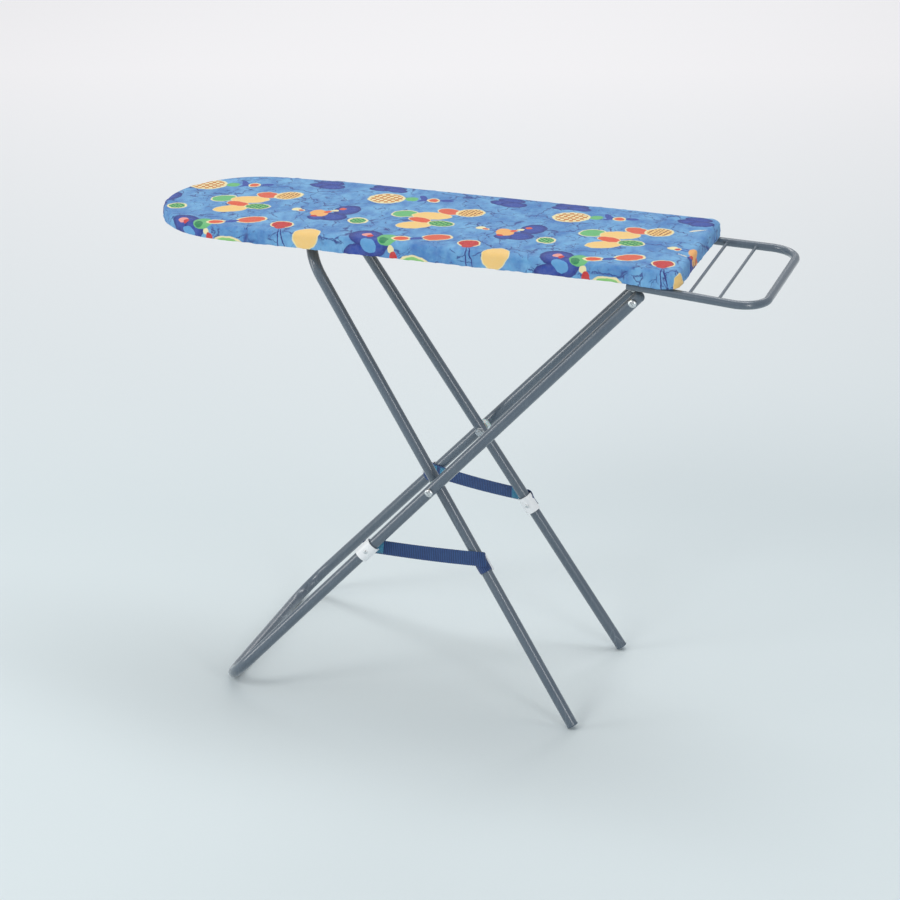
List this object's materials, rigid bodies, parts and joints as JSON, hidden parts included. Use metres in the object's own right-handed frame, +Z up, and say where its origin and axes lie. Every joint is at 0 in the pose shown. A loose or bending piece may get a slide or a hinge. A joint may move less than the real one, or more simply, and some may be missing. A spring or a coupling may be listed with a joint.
{
  "type": "ironing board",
  "caption": "Folding ironing board with a padded printed cover, a tubular iron rest and crossed U-shaped legs held by webbing straps.",
  "frame": {"origin": "middle of the whole object on the floor", "axes": "+X along the board from its rounded nose to the iron rest, +Y across it, +Z up"},
  "size_m": [1.2219, 0.486, 0.945],
  "materials": {
    "cover_fabric": "printed cotton",
    "foam": "open foam",
    "panel_wood": "raw particle board",
    "frame_paint": "satin powder coat",
    "cap_plastic": "satin",
    "zinc": "bright zinc",
    "clear_plastic": "translucent white",
    "white_plastic": "gloss",
    "catch_plastic": "matt",
    "webbing": "ribbed webbing"
  },
  "bodies": {
    "outer_legs": {"outer_leg_frame": "frame_paint", "outer_leg_caps": "cap_plastic", "hinge_bolts": "zinc", "hinge_washers": "zinc", "hinge_nuts": "zinc", "pivot_bolts": "zinc", "pivot_spacers": "clear_plastic", "pivot_washers": "zinc", "pivot_nuts": "zinc", "strap_near": "webbing", "strap_far": "webbing", "outer_strap_clips": "white_plastic", "outer_clip_screws": "zinc"},
    "board": {"board_panel": "panel_wood", "foam_pad": "foam", "board_cover": "cover_fabric", "iron_rest_frame": "frame_paint", "rest_cross_wires": "frame_paint", "rest_screws": "zinc", "hinge_bracket": "frame_paint", "bracket_screws": "zinc", "bar_catch": "catch_plastic", "catch_screws": "zinc"},
    "inner_legs": {"inner_leg_frame": "frame_paint", "foot_plugs": "cap_plastic", "inner_strap_clips": "white_plastic", "inner_clip_screws": "zinc"}
  },
  "joints": [
    {"name": "board_hinge", "type": "hinge", "parent": "outer_legs", "child": "board", "pos_m": [0.356, 0, 0.867], "axis": [0, 1, 0], "range_deg": [0, 36]},
    {"name": "leg_pivot", "type": "hinge", "parent": "outer_legs", "child": "inner_legs", "pos_m": [-0.01912, 0, 0.46105], "axis": [0, 1, 0], "range_deg": [0, 72], "deforming": ["strap_near", "strap_far"]}
  ],
  "couplings": [
    {"joint": "leg_pivot", "follows": "board_hinge", "ratio": 2}
  ]
}
